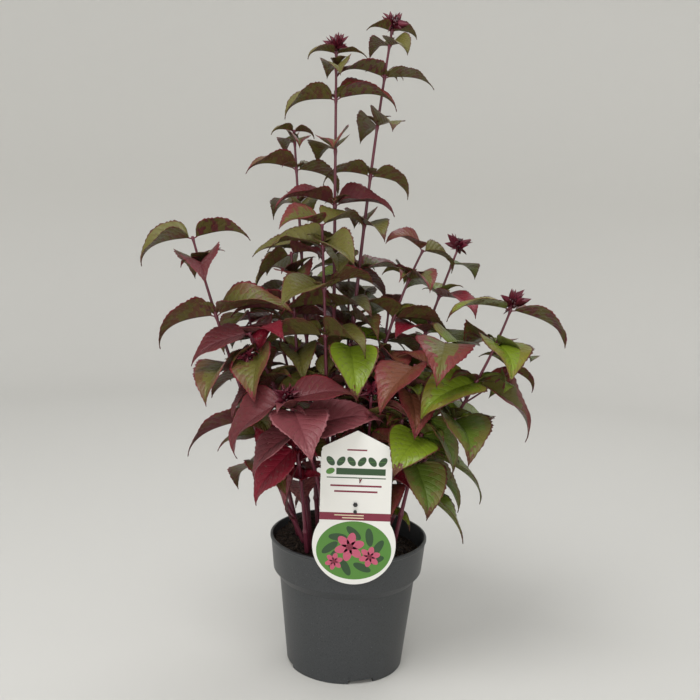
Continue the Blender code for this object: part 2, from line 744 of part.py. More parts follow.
def grow(collection, cutters, bark, leafage, compost, standing):
    """All canes and their foliage."""
    ground = BVHTree.FromPolygons(*triangles_of(compost))
    space = Space()
    for thing in standing:
        space.add_object(thing.name, thing)
    plans = []
    for number, shoot in enumerate(SHOOTS):
        chance = random.Random(100 + number)
        foot_height = foot_on(ground, shoot.foot)
        table = curve_table(shoot, foot_height)
        whole = table[1][-1]
        gaps = pair_gaps(shoot, chance)
        break_at = whole - sum(gaps) - BARE_BELOW_LEAVES
        cane = limb("cane_" + shoot.name, table, 0.0, break_at - GAP, collection, bark)
        level_foot(cane, foot_height)
        name = "foliage_" + shoot.name
        stem = limb(name, table, break_at, whole, collection, leafage)
        space.add_object(cane.name, cane)
        space.add_object(name, stem)
        solids = []
        if shoot.head:
            way = lean_at(table, whole) @ Vector((0, 0, 1))
            solids += make_head(name + "_head", Vector(shoot.tip), way, chance, cutters)
        twigs = []
        for twig in shoot.twigs:
            twig_table = twig_line(table, sum(gaps), twig)
            solids.append(tube(name + "_twig", twig_table[0][::5], TWIG_RADIUS, cutters, None))
            if twig.head:
                down = Vector((0, 0, -1)) if twig.head == "hang" else direction(twig.heading, twig.rise)
                solids += make_head(name + "_twig_head", twig_table[0][-1], down, chance, cutters)
            twigs.append((twig, twig_table))
        for solid in solids:
            space.add_object(name, solid)
        plans.append((shoot, chance, table, gaps, stem, solids, twigs))
    for shoot, chance, table, gaps, stem, solids, twigs in plans:
        name = "foliage_" + shoot.name
        solids += add_pairs(
            name, table, table[1][-1], gaps, shoot.turn, shoot.leaf, shoot.tip_leaf, shoot.hang,
            chance, space, cutters
        )
        for twig, twig_table in twigs:
            twig_gaps = [shoot.top_gap] + [twig.length / (twig.pairs + 0.5)] * (twig.pairs - 1)
            solids += add_pairs(
                name, twig_table, twig_table[1][-1], twig_gaps[: twig.pairs], twig.heading + 90, twig.leaf,
                TWIG_TIP_LEAF, 0, chance, space, cutters
            )
        fuse(stem, solids)
        space.drop(name)
        space.add_object(name, stem)


def twig_line(table, leafy, twig):
    """The curve table of a side twig, which leaves a leafy stem and turns up a little."""
    whole = table[1][-1]
    root = point_at(table, whole - leafy * twig.at)
    way = direction(twig.heading, twig.rise)
    points = []
    for i in range(TWIG_STEPS + 1):
        upward = Vector((0, 0, TWIG_UPTURN * twig.length * (i / TWIG_STEPS) ** 2))
        points.append(root + way * twig.length * i / TWIG_STEPS + upward)
    lengths = [0.0]
    for before, after in zip(points, points[1:]):
        lengths.append(lengths[-1] + (after - before).length)
    return points, lengths


def triangles_of(thing):
    """Points and triangles of an object as it stands."""
    mesh = evaluated_mesh(thing)
    mesh.calc_loop_triangles()
    return [v.co.copy() for v in mesh.vertices], [tuple(t.vertices) for t in mesh.loop_triangles]


def foot_on(ground, place):
    """The height at which a cane's foot stands just clear of the compost."""
    heights = []
    for i in range(9):
        angle = i * math.pi / 4
        out = 0.0 if i == 8 else CANE_FOOT_RADIUS * FOOT_SPREAD
        spot = Vector((place[0] + out * math.cos(angle), place[1] + out * math.sin(angle), 0.3))
        heights.append(ground.ray_cast(spot, Vector((0, 0, -1)))[0].z)
    return max(heights) + GAP


def main():
    clear_scene()
    collection = new_collection("potted_himalayan_honeysuckle")
    cutters = new_collection("cutters")
    plastic = new_material("pot_plastic", (0.045, 0.047, 0.050), 0.45)
    peat = new_material("compost", (0.020, 0.014, 0.010), 0.95)
    card_white = new_material("label_card", (0.80, 0.79, 0.76), 0.35)
    stake_black = new_material("label_stake", (0.01, 0.01, 0.01), 0.40)
    bark = new_material("cane_bark", (0.16, 0.03, 0.05), 0.50)
    leafage = new_material("foliage", (0.22, 0.06, 0.06), 0.50)
    pot = make_pot(collection, cutters, plastic)
    compost = make_compost(collection, cutters, peat)
    card, stake = make_label(collection, cutters, card_white, stake_black)
    grow(collection, cutters, bark, leafage, compost, (pot, card, stake, compost))


main()
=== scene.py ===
"""A potted Himalayan honeysuckle, dressed for a plain studio picture.

The canes, leaves and flower heads grow by the same seeded rule as the solids of
the frame, carried to finer stems, toothed leaves and single berries.
Metres, +Z up, the pot's flat underside on the floor at the origin.
"""

import json
import math
import random
from collections import namedtuple

import bmesh
import bpy
from mathutils import Matrix, Quaternion, Vector
from mathutils.kdtree import KDTree
from mathutils.noise import noise

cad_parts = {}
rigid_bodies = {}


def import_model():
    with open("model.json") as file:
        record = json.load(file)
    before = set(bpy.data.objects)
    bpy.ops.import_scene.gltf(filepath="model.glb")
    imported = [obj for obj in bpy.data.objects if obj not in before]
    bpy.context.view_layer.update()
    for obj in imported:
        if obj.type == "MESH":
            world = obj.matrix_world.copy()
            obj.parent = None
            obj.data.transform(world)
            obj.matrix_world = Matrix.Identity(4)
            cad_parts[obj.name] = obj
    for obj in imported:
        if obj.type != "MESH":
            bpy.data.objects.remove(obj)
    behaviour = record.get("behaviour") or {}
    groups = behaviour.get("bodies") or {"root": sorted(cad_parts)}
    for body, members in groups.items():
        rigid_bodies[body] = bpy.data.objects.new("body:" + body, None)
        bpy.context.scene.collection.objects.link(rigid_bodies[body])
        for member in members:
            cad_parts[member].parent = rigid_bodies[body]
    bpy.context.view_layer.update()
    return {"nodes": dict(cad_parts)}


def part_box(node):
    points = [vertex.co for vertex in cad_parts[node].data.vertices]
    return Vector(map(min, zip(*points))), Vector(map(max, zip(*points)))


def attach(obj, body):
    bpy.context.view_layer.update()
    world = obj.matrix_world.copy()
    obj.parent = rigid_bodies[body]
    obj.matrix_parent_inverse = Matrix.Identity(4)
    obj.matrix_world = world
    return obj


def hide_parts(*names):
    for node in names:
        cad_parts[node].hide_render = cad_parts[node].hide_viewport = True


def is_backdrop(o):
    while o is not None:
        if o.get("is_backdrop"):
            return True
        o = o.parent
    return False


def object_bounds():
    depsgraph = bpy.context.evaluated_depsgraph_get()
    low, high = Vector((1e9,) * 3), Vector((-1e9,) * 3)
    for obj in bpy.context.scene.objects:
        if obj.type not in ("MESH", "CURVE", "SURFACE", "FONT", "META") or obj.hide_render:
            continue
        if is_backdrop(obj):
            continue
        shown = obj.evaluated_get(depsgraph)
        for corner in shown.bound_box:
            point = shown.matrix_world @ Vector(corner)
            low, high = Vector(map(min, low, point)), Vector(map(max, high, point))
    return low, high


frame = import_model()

scene = bpy.context.scene

# Camera: one long view from the front, level with the upper leaves and tipped down to the pot.
# Its slight roll is the photograph's own.
camera_data = bpy.data.cameras.new("camera")
camera_data.lens = 51.43
camera_data.sensor_width = 36.0
camera = bpy.data.objects.new("camera", camera_data)
camera.matrix_world = (
    Matrix.Translation((-0.0054, -1.065, 0.532))
    @ Matrix.Rotation(math.radians(80.5), 4, "X")
    @ Matrix.Rotation(math.radians(2.0), 4, "Z")
)
scene.collection.objects.link(camera)
scene.camera = camera

# Light: a broad soft panel high at the front left, a weaker one low in front, one behind on the
# right and pale surroundings. They keep the shadows soft, as under a shop's ceiling lights.
for light_name, place, size, power in (
    ("key_panel", (-0.55, -0.90, 2.10), 1.2, 26.0),
    ("front_panel", (-0.20, -1.60, 0.60), 0.9, 9.0),
    ("rear_panel", (0.70, 1.20, 1.80), 1.0, 8.0),
):
    panel = bpy.data.lights.new(light_name, "AREA")
    panel.shape = "DISK"
    panel.size = size
    panel.energy = power
    lamp = bpy.data.objects.new(light_name, panel)
    lamp.location = place
    lamp.rotation_euler = (Vector((0.0, 0.0, 0.35)) - Vector(place)).to_track_quat("-Z", "Y").to_euler()
    scene.collection.objects.link(lamp)
world = bpy.data.worlds.new("pale_room")
world.use_nodes = True
world.node_tree.nodes["Background"].inputs["Color"].default_value = (0.93, 0.96, 1.0, 1.0)
world.node_tree.nodes["Background"].inputs["Strength"].default_value = 0.62
scene.world = world
scene.view_settings.view_transform = "Standard"

# Backdrop: a pale painted floor that turns up into a round wall, so that every side has a plain
# background. It is a turned profile, and belongs to the picture and not to the plant.
profile = [(0.0, 0.0), (1.5, 0.0)]
for i in range(1, 13):
    turn = math.pi / 2 * i / 12
    profile.append((1.5 + 0.5 * math.sin(turn), 0.5 - 0.5 * math.cos(turn)))
profile.append((2.0, 2.6))
mesh = bpy.data.meshes.new("backdrop")
mesh.from_pydata([(r, 0.0, z) for r, z in profile], [(i, i + 1) for i in range(len(profile) - 1)], [])
backdrop = bpy.data.objects.new("backdrop", mesh)
scene.collection.objects.link(backdrop)
screw = backdrop.modifiers.new("turn", "SCREW")
screw.steps = 96
screw.render_steps = 96
screw.use_merge_vertices = True
screw.merge_threshold = 0.0001
screw.use_smooth_shade = True
paint = bpy.data.materials.new("pale_paint")
paint.use_nodes = True
shader = paint.node_tree.nodes["Principled BSDF"]
shader.inputs["Base Color"].default_value = (0.62, 0.61, 0.58, 1.0)
shader.inputs["Roughness"].default_value = 0.85
mesh.materials.append(paint)
backdrop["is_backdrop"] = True

# Nursery pot: moulded charcoal plastic with an upper band, a rounded lip and drain notches round
# its foot. The skin has fine pale and dark specks and a faint moulded grain.
pot_profile = [
    (0.0, 0.0025), (0.0627, 0.0025), (0.0732, 0.1005), (0.0804, 0.1095), (0.0837, 0.1468),
    (0.0839, 0.1473), (0.0843, 0.1475), (0.0858, 0.1475), (0.0864, 0.1472), (0.0867, 0.1466),
    (0.0867, 0.1449), (0.0865, 0.1443), (0.0861, 0.1440), (0.0857, 0.1434), (0.0855, 0.1426),
    (0.0823, 0.1106), (0.0821, 0.1097), (0.0817, 0.1090), (0.0754, 0.1012), (0.0751, 0.1007),
    (0.0750, 0.0998), (0.0645, 0.0016), (0.0643, 0.0006), (0.0638, 0.0001), (0.0633, 0.0), (0.0, 0.0),
]
mesh = bpy.data.meshes.new("nursery_pot")
mesh.from_pydata([(r, 0.0, z) for r, z in pot_profile], [(i, i + 1) for i in range(len(pot_profile) - 1)], [])
pot = bpy.data.objects.new("nursery_pot", mesh)
scene.collection.objects.link(pot)
screw = pot.modifiers.new("turn", "SCREW")
screw.steps = 160
screw.render_steps = 160
screw.use_merge_vertices = True
screw.merge_threshold = 0.00001
for i in range(4):
    angle = math.radians(-163.0 + 90.0 * i)
    bpy.ops.object.select_all(action="DESELECT")
    bpy.ops.mesh.primitive_cube_add(size=1.0)
    notch = bpy.context.object
    notch.name = f"drain_notch_{i}"
    notch.scale = (0.018, 0.028, 0.009)
    notch.location = (0.0615 * math.cos(angle), 0.0615 * math.sin(angle), 0.0)
    notch.rotation_euler.z = angle
    notch.hide_render = True
    notch.hide_viewport = True
    boolean = pot.modifiers.new("drain", "BOOLEAN")
    boolean.operation = "DIFFERENCE"
    boolean.object = notch
bpy.context.view_layer.update()
mesh = bpy.data.meshes.new_from_object(pot.evaluated_get(bpy.context.evaluated_depsgraph_get()))
mesh.name = "nursery_pot"
pot.modifiers.clear()
pot.data = mesh
for i in range(4):
    bpy.data.objects.remove(bpy.data.objects[f"drain_notch_{i}"])
bpy.ops.object.select_all(action="DESELECT")
pot.select_set(True)
bpy.context.view_layer.objects.active = pot
bpy.ops.object.shade_smooth_by_angle(angle=math.radians(28.0))
plastic = bpy.data.materials.new("charcoal_plastic")
plastic.use_nodes = True
nodes, links = plastic.node_tree.nodes, plastic.node_tree.links
shader = nodes["Principled BSDF"]
place = nodes.new("ShaderNodeTexCoord")
specks = nodes.new("ShaderNodeTexNoise")
specks.inputs["Scale"].default_value = 900.0
specks.inputs["Detail"].default_value = 2.0
ramp = nodes.new("ShaderNodeValToRGB")
ramp.color_ramp.elements[0].position = 0.34
ramp.color_ramp.elements[0].color = (0.020, 0.021, 0.022, 1.0)
ramp.color_ramp.elements[1].position = 0.42
ramp.color_ramp.elements[1].color = (0.038, 0.041, 0.044, 1.0)
high = ramp.color_ramp.elements.new(0.70)
high.color = (0.042, 0.045, 0.048, 1.0)
top = ramp.color_ramp.elements.new(0.78)
top.color = (0.16, 0.165, 0.17, 1.0)
grain = nodes.new("ShaderNodeTexNoise")
grain.inputs["Scale"].default_value = 420.0
bump = nodes.new("ShaderNodeBump")
bump.inputs["Strength"].default_value = 0.12
bump.inputs["Distance"].default_value = 0.0006
links.new(place.outputs["Object"], specks.inputs["Vector"])
links.new(place.outputs["Object"], grain.inputs["Vector"])
links.new(specks.outputs["Fac"], ramp.inputs["Fac"])
links.new(ramp.outputs["Color"], shader.inputs["Base Color"])
links.new(grain.outputs["Fac"], bump.inputs["Height"])
links.new(bump.outputs["Normal"], shader.inputs["Normal"])
shader.inputs["Roughness"].default_value = 0.42
mesh.materials.clear()
mesh.materials.append(plastic)
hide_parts("pot")
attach(pot, "root")

# Compost: moist peat heaped at the back left, with bark chips and fibres lying on it, all in one peat
# material.
# The chips are small broken slabs and the fibres thin slivers, scattered by a seeded rule.
def compost_height(x, y):
    away = (Vector((x, y)) - Vector((-0.045, 0.040))).length / 0.030
    heap = 0.018 * max(0.0, 1.0 - away * away) ** 2
    return 0.1330 - 0.085 * x + heap


COMPOST_RADIUS = 0.0832
COMPOST_TOP_AT_RIM = 0.1445
CRUMB_KINDS = (
    (900, 0.0050, 0.0028, 0.0012),
    (420, 0.0090, 0.0036, 0.0016),
    (260, 0.0160, 0.0007, 0.0006),
)
chance = random.Random(7)
rings, spokes = 34, 120
points, faces = [], []
for i in range(rings + 1):
    for j in range(spokes):
        turn = 2 * math.pi * j / spokes
        reach = COMPOST_RADIUS * (i + 0.02) / (rings + 0.02)
        x, y = reach * math.cos(turn), reach * math.sin(turn)
        rough = 0.0016 * noise(Vector((x, y, 0.3)) * 160) + 0.0012 * noise(Vector((x, y, 0.7)) * 420)
        inside = min(1.0, (COMPOST_RADIUS - reach) / 0.006)
        level = compost_height(x, y)
        level = min(level, COMPOST_TOP_AT_RIM) * (1 - inside) + level * inside
        points.append((x, y, level + rough - 0.0008))
for i in range(rings):
    for j in range(spokes):
        a, b = i * spokes + j, i * spokes + (j + 1) % spokes
        faces.append((a, a + spokes, b + spokes, b))
faces.append(tuple(range(spokes)))
foot_start = len(points)
for j in range(spokes):
    turn = 2 * math.pi * j / spokes
    points.append((0.0800 * math.cos(turn), 0.0800 * math.sin(turn), 0.112))
for j in range(spokes):
    a, b = rings * spokes + j, rings * spokes + (j + 1) % spokes
    faces.append((a, foot_start + j, foot_start + (j + 1) % spokes, b))
faces.append(tuple(reversed(range(foot_start, foot_start + spokes))))
for count, long, wide, thick in CRUMB_KINDS:
    for i in range(count):
        reach, turn = 0.081 * math.sqrt(chance.random()), chance.uniform(0, 2 * math.pi)
        x, y = reach * math.cos(turn), reach * math.sin(turn)
        spin = Matrix.Rotation(chance.uniform(0, math.pi), 3, "Z")
        spin = spin @ Matrix.Rotation(chance.uniform(-0.5, 0.5), 3, "Y")
        size = Vector((long, wide, thick)) * chance.uniform(0.5, 1.15) / 2
        middle = Vector((x, y, compost_height(x, y) + size.z * 0.6))
        if reach + long / 2 > 0.082:
            continue
        start = len(points)
        for sx in (-1, 1):
            for sy in (-1, 1):
                for sz in (-1, 1):
                    corner = Vector((sx * size.x, sy * size.y * chance.uniform(0.4, 1.0), sz * size.z))
                    points.append(tuple(middle + spin @ corner))
        for quad in ((0, 1, 3, 2), (4, 6, 7, 5), (0, 4, 5, 1), (2, 3, 7, 6), (0, 2, 6, 4), (1, 5, 7, 3)):
            faces.append(tuple(start + k for k in quad))
mesh = bpy.data.meshes.new("compost_bed")
mesh.from_pydata(points, [], faces)
compost = bpy.data.objects.new("compost_bed", mesh)
scene.collection.objects.link(compost)
peat = bpy.data.materials.new("moist_peat")
peat.use_nodes = True
nodes, links = peat.node_tree.nodes, peat.node_tree.links
shader = nodes["Principled BSDF"]
place = nodes.new("ShaderNodeTexCoord")
lumps = nodes.new("ShaderNodeTexNoise")
lumps.inputs["Scale"].default_value = 260.0
lumps.inputs["Detail"].default_value = 5.0
ramp = nodes.new("ShaderNodeValToRGB")
ramp.color_ramp.elements[0].position = 0.30
ramp.color_ramp.elements[0].color = (0.006, 0.004, 0.003, 1.0)
ramp.color_ramp.elements[1].position = 0.72
ramp.color_ramp.elements[1].color = (0.060, 0.036, 0.022, 1.0)
bump = nodes.new("ShaderNodeBump")
bump.inputs["Strength"].default_value = 0.6
bump.inputs["Distance"].default_value = 0.001
links.new(place.outputs["Object"], lumps.inputs["Vector"])
links.new(lumps.outputs["Fac"], ramp.inputs["Fac"])
links.new(ramp.outputs["Color"], shader.inputs["Base Color"])
links.new(lumps.outputs["Fac"], bump.inputs["Height"])
links.new(bump.outputs["Normal"], shader.inputs["Normal"])
shader.inputs["Roughness"].default_value = 0.9
mesh.materials.append(peat)
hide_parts("compost")
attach(compost, "root")

# Label card: a peaked white plastic card on a round foot, its upper left corner chipped.
# It is cut from one flat sheet, with its edges softened.
card_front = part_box("label_card")[0].y
card_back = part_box("label_card")[1].y
card_middle = 0.0055
outline = [(-0.0362, 0.2640), (-0.0352, 0.2655), (-0.0358, 0.2672), (-0.0340, 0.2694), (0.0, 0.2868)]
outline += [(0.0335, 0.2703), (0.0351, 0.2693), (0.0360, 0.2676), (0.0362, 0.2655)]
for i in range(65):
    turn = math.radians(32.4 - 244.8 * i / 64)
    outline.append((0.0429 * math.cos(turn), 0.1665 + 0.0429 * math.sin(turn)))
mesh = bpy.data.meshes.new("card")
points = [(x + card_middle, card_front + 0.00002, z) for x, z in outline]
points += [(x + card_middle, card_back, z) for x, z in outline]
count = len(outline)
faces = [tuple(range(count))[::-1], tuple(range(count, 2 * count))]
faces += [(i, (i + 1) % count, count + (i + 1) % count, count + i) for i in range(count)]
mesh.from_pydata(points, [], faces)
card = bpy.data.objects.new("card", mesh)
scene.collection.objects.link(card)
bevel = card.modifiers.new("soft_edge", "BEVEL")
bevel.width = 0.00018
bevel.segments = 2
card_white = bpy.data.materials.new("card_white")
card_white.use_nodes = True
nodes, links = card_white.node_tree.nodes, card_white.node_tree.links
shader = nodes["Principled BSDF"]
shader.inputs["Base Color"].default_value = (0.74, 0.73, 0.69, 1.0)
shader.inputs["Roughness"].default_value = 0.32
place = nodes.new("ShaderNodeTexCoord")
grain = nodes.new("ShaderNodeTexNoise")
grain.inputs["Scale"].default_value = 60.0
bump = nodes.new("ShaderNodeBump")
bump.inputs["Strength"].default_value = 0.05
bump.inputs["Distance"].default_value = 0.0004
links.new(place.outputs["Object"], grain.inputs["Vector"])
links.new(grain.outputs["Fac"], bump.inputs["Height"])
links.new(bump.outputs["Normal"], shader.inputs["Normal"])
mesh.materials.append(card_white)
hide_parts("label_card")
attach(card, "root")

# Label printing: flat shapes of ink a hair thick on the card's front face, in maroon, two greens,
# pink and cream. One mesh with a slot for each ink.
inks = []
for ink_name, colour in (
    ("ink_maroon", (0.180, 0.012, 0.035)), ("ink_dark_green", (0.020, 0.060, 0.018)),
    ("ink_leaf_green", (0.075, 0.210, 0.030)), ("ink_pink", (0.480, 0.085, 0.150)),
    ("ink_cream", (0.700, 0.620, 0.420)),
):
    ink = bpy.data.materials.new(ink_name)
    ink.use_nodes = True
    shader = ink.node_tree.nodes["Principled BSDF"]
    shader.inputs["Base Color"].default_value = (*colour, 1.0)
    shader.inputs["Roughness"].default_value = 0.30
    inks.append(ink)
shapes = []


def ellipse(x, z, long, wide, turn, sides=28):
    ring = []
    for k in range(sides):
        a = 2 * math.pi * k / sides
        px, pz = long * math.cos(a), wide * math.sin(a)
        ring_x = x + px * math.cos(turn) - pz * math.sin(turn)
        ring.append((ring_x, z + px * math.sin(turn) + pz * math.cos(turn)))
    return ring


def bar(x, z, long, high):
    left, right = x - long / 2, x + long / 2
    low, high = z - high / 2, z + high / 2
    return [(left, low), (right, low), (right, high), (left, high)]


shapes.append((0, 1, bar(0.0, 0.2665, 0.020, 0.0016)))
for k in range(6):
    shapes.append((1, 1, ellipse(-0.0265 + 0.0106 * k, 0.2545, 0.0056, 0.0034, 0.9 if k % 2 else -0.9)))
    shapes.append((2, 2, bar(-0.0265 + 0.0106 * k, 0.2545, 0.0056, 0.0004)))
shapes.append((1, 1, bar(0.0045, 0.2440, 0.0500, 0.0068)))
shapes.append((2, 1, ellipse(-0.0265, 0.2440, 0.0046, 0.0030, 0.4)))
shapes.append((1, 1, bar(0.0, 0.2374, 0.0600, 0.0011)))
for k, long in enumerate((0.052, 0.044)):
    shapes.append((0, 1, bar(0.0, 0.2290 - 0.0060 * k, long, 0.0019)))
shapes.append((0, 1, bar(0.0, 0.1965, 0.0724, 0.0080)))
for k, long in enumerate((0.030, 0.022)):
    shapes.append((4, 2, bar(-0.006 + 0.004 * k, 0.1978 - 0.0028 * k, long, 0.0010)))
shapes.append((2, 1, ellipse(0.0, 0.1603, 0.0386, 0.0313, 0.0, 64)))
for k in range(9):
    turn = 2 * math.pi * k / 9 + 0.2
    x, z = 0.0250 * math.cos(turn), 0.1600 + 0.0190 * math.sin(turn)
    shapes.append((1, 2, ellipse(x, z, 0.0098, 0.0040, turn + 0.8)))
for x, z, size in ((-0.0045, 0.1640, 1.0), (0.0165, 0.1540, 0.72), (-0.0200, 0.1480, 0.6)):
    for k in range(6):
        turn = math.pi / 3 * k + 0.3
        petal_x, petal_z = x + 0.0080 * size * math.cos(turn), z + 0.0080 * size * math.sin(turn)
        shapes.append((3, 3, ellipse(petal_x, petal_z, 0.0076 * size, 0.0044 * size, turn)))
    shapes.append((0, 4, ellipse(x, z, 0.0036 * size, 0.0036 * size, 0.0)))
points, faces, which = [], [], []
for ink_number, layer, ring in shapes:
    front = card_front - 0.00003 * layer
    start, size = len(points), len(ring)
    points += [(x + card_middle, front, z) for x, z in ring]
    points += [(x + card_middle, card_front + 0.00006, z) for x, z in ring]
    faces.append(tuple(range(start, start + size)))
    faces.append(tuple(reversed(range(start + size, start + 2 * size))))
    which += [ink_number, ink_number]
    for k in range(size):
        n = (k + 1) % size
        faces.append((start + k, start + size + k, start + size + n, start + n))
        which.append(ink_number)
mesh = bpy.data.meshes.new("card_printing")
mesh.from_pydata(points, [], faces)
for ink in inks:
    mesh.materials.append(ink)
mesh.polygons.foreach_set("material_index", which)
printing = bpy.data.objects.new("card_printing", mesh)
scene.collection.objects.link(printing)
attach(printing, "root")

# Label stake: a moulded black plastic rod pushed into the compost behind the card, with two pegs
# whose round heads hold the card from the front.
stake = frame["nodes"]["label_stake"]
black = bpy.data.materials.new("black_plastic")
black.use_nodes = True
nodes, links = black.node_tree.nodes, black.node_tree.links
shader = nodes["Principled BSDF"]
shader.inputs["Base Color"].default_value = (0.010, 0.010, 0.011, 1.0)
shader.inputs["Roughness"].default_value = 0.35
place = nodes.new("ShaderNodeTexCoord")
grain = nodes.new("ShaderNodeTexNoise")
grain.inputs["Scale"].default_value = 500.0
bump = nodes.new("ShaderNodeBump")
bump.inputs["Strength"].default_value = 0.1
bump.inputs["Distance"].default_value = 0.0003
links.new(place.outputs["Object"], grain.inputs["Vector"])
links.new(grain.outputs["Fac"], bump.inputs["Height"])
links.new(bump.outputs["Normal"], shader.inputs["Normal"])
for held in stake.material_slots:
    held.material = black

# Plant: where every cane, leaf and flower head stands. The seeded rule is the one that grew the
# frame's solids, and a leaf that was turned aside there is found again by its solid's tip.
Twig = namedtuple("Twig", "at heading rise length pairs leaf head")
Shoot = namedtuple(
    "Shoot", "name foot tip bend pairs top_gap gap opening turn leaf tip_leaf hang head twigs"
)
Pose = namedtuple("Pose", "root lean heading rise droop sweep roll fold length width")
SHOOTS = (
    Shoot("tall_right", (-0.013, 0.008), (0.027, 0.022, 0.692), (0.12, 0.50),
          8, 0.003, 0.050, 0.33, 20, 0.057, 0.52, 9, "up", ()),
    Shoot("tall_centre", (-0.018, -0.004), (-0.030, -0.008, 0.664), (0.50, 0.50),
          8, 0.003, 0.053, 0.30, 192, 0.064, 0.52, 8, "up", ()),
    Shoot("tall_left", (-0.034, 0.018), (-0.074, 0.036, 0.586), (0.50, 0.50),
          7, 0.002, 0.046, 0.30, 200, 0.058, 0.45, 6, "", ()),
    Shoot("inner_left", (-0.042, 0.000), (-0.072, 0.008, 0.457), (0.60, 0.50),
          5, 0.003, 0.040, 0.60, 190, 0.068, 0.90, 5, "", ()),
    Shoot("front_centre", (-0.022, -0.030), (-0.038, -0.050, 0.490), (0.30, 0.50),
          6, 0.002, 0.048, 0.43, 215, 0.070, 0.85, 5, "", ()),
    Shoot("far_left", (-0.048, -0.012), (-0.172, -0.030, 0.472), (0.62, 0.50),
          6, 0.003, 0.056, 0.50, 5, 0.078, 0.80, 10, "", ()),
    Shoot("left_inner", (-0.042, -0.026), (-0.110, -0.047, 0.376), (0.10, 0.50),
          5, 0.002, 0.036, 0.60, 160, 0.068, 0.95, 20, "",
          (Twig(0.10, 240, -25, 0.016, 0, 0.0, "hang"),)),
    Shoot("far_right", (-0.002, -0.016), (0.158, -0.050, 0.412), (0.75, 0.52),
          7, 0.004, 0.044, 0.95, 5, 0.084, 0.88, 22, "up",
          (Twig(0.42, 12, 30, 0.075, 4, 0.040, ""),)),
    Shoot("inner_right", (0.004, 0.006), (0.070, 0.020, 0.463), (0.05, 0.60),
          6, 0.002, 0.042, 0.90, 20, 0.066, 0.75, 8, "",
          (Twig(0.66, 340, 10, 0.018, 0, 0.0, "hang"),)),
    Shoot("rear_right", (0.018, 0.024), (0.110, 0.050, 0.462), (0.35, 0.50),
          6, 0.018, 0.044, 0.90, 40, 0.072, 0.75, 12, "up", ()),
    Shoot("front_left", (-0.018, -0.044), (-0.065, -0.100, 0.318), (0.30, 0.60),
          3, 0.002, 0.032, 0.40, 190, 0.078, 1.00, 24, "up", ()),
    Shoot("low_left", (-0.044, -0.038), (-0.056, -0.078, 0.266), (0.40, 0.50),
          4, 0.002, 0.024, 0.30, 215, 0.070, 1.00, 55, "", ()),
    Shoot("centre", (0.010, -0.033), (-0.006, -0.030, 0.366), (0.50, 0.50),
          5, 0.003, 0.036, 0.90, 250, 0.070, 1.00, 35, "", ()),
    Shoot("front_right", (0.016, -0.044), (0.018, -0.066, 0.318), (0.40, 0.60),
          4, 0.006, 0.028, 0.90, 20, 0.056, 1.00, 5, "up", ()),
    Shoot("right_inner", (0.024, -0.034), (0.062, -0.052, 0.350), (0.50, 0.50),
          5, 0.003, 0.036, 0.80, 30, 0.076, 1.00, 34, "", ()),
    Shoot("mid_right", (0.034, -0.014), (0.094, -0.040, 0.372), (0.45, 0.50),
          5, 0.003, 0.040, 0.80, 75, 0.078, 1.00, 24, "", ()),
    Shoot("low_right", (0.036, 0.002), (0.096, -0.010, 0.330), (0.55, 0.50),
          4, 0.003, 0.036, 0.80, 60, 0.074, 1.00, 28, "", ()),
    Shoot("low_front_right", (0.046, -0.032), (0.076, -0.062, 0.300), (0.45, 0.50),
          3, 0.002, 0.032, 0.80, 320, 0.066, 1.00, 32, "", ()),
    Shoot("mid_left", (-0.056, 0.012), (-0.118, 0.010, 0.392), (0.50, 0.50),
          5, 0.003, 0.038, 0.80, 210, 0.070, 1.00, 22, "", ()),
    Shoot("centre_back", (0.014, 0.014), (0.036, 0.036, 0.395), (0.50, 0.50),
          5, 0.003, 0.040, 0.80, 100, 0.074, 0.90, 20, "", ()),
    Shoot("rear_left", (-0.026, 0.038), (-0.100, 0.085, 0.400), (0.50, 0.50),
          5, 0.003, 0.038, 0.80, 130, 0.070, 0.90, 24, "", ()),
    Shoot("rear_centre", (-0.002, 0.034), (-0.010, 0.092, 0.430), (0.50, 0.50),
          5, 0.004, 0.040, 0.80, 20, 0.070, 0.80, 18, "up", ()),
    Shoot("rear_far_right", (0.030, 0.042), (0.095, 0.105, 0.350), (0.50, 0.50),
          5, 0.003, 0.036, 0.80, 70, 0.070, 1.00, 32, "", ()),
    Shoot("rear_low", (-0.010, 0.050), (-0.040, 0.108, 0.300), (0.50, 0.50),
          5, 0.003, 0.032, 0.80, 160, 0.068, 1.00, 40, "", ()),
)
DODGES = (
    (0, 0), (14, 4), (-14, 4), (8, -14), (-8, -14), (26, 10), (-26, 10), (40, -8), (-40, -8),
    (0, 24), (20, 30), (-20, 30), (20, -30), (-20, -30), (60, 0), (-60, 0), (0, -40), (0, 44),
)
DODGE_SIZES = (1.0, 0.8, 0.62)
FOUND_WITHIN = 0.0001
SOLID_LEAF_STEPS = 24
LEAF_STEPS = 36
LEAN_SHARE = 0.7
PETIOLE_SHARE = 0.07
PETIOLE_LIFT = 28.0
LEAF_WIDTH_SHARE = 0.72
HANG_WIDTH = 0.003
UPRIGHT_HANG = 12
UPRIGHT_FOLD = 18
TWIG_STEPS = 20
TWIG_UPTURN = 0.15
TWIG_TIP_LEAF = 0.9
HEAD_RADIUS = 0.0065
HEART_SHARE = 0.7
HEAD_BRACTS = 9
BRACT_TURN = 2.399963
BRACT_LENGTH = 0.0150


def direction(heading, rise):
    flat, up = math.radians(heading), math.radians(rise)
    return Vector((math.cos(up) * math.cos(flat), math.cos(up) * math.sin(flat), math.sin(up)))


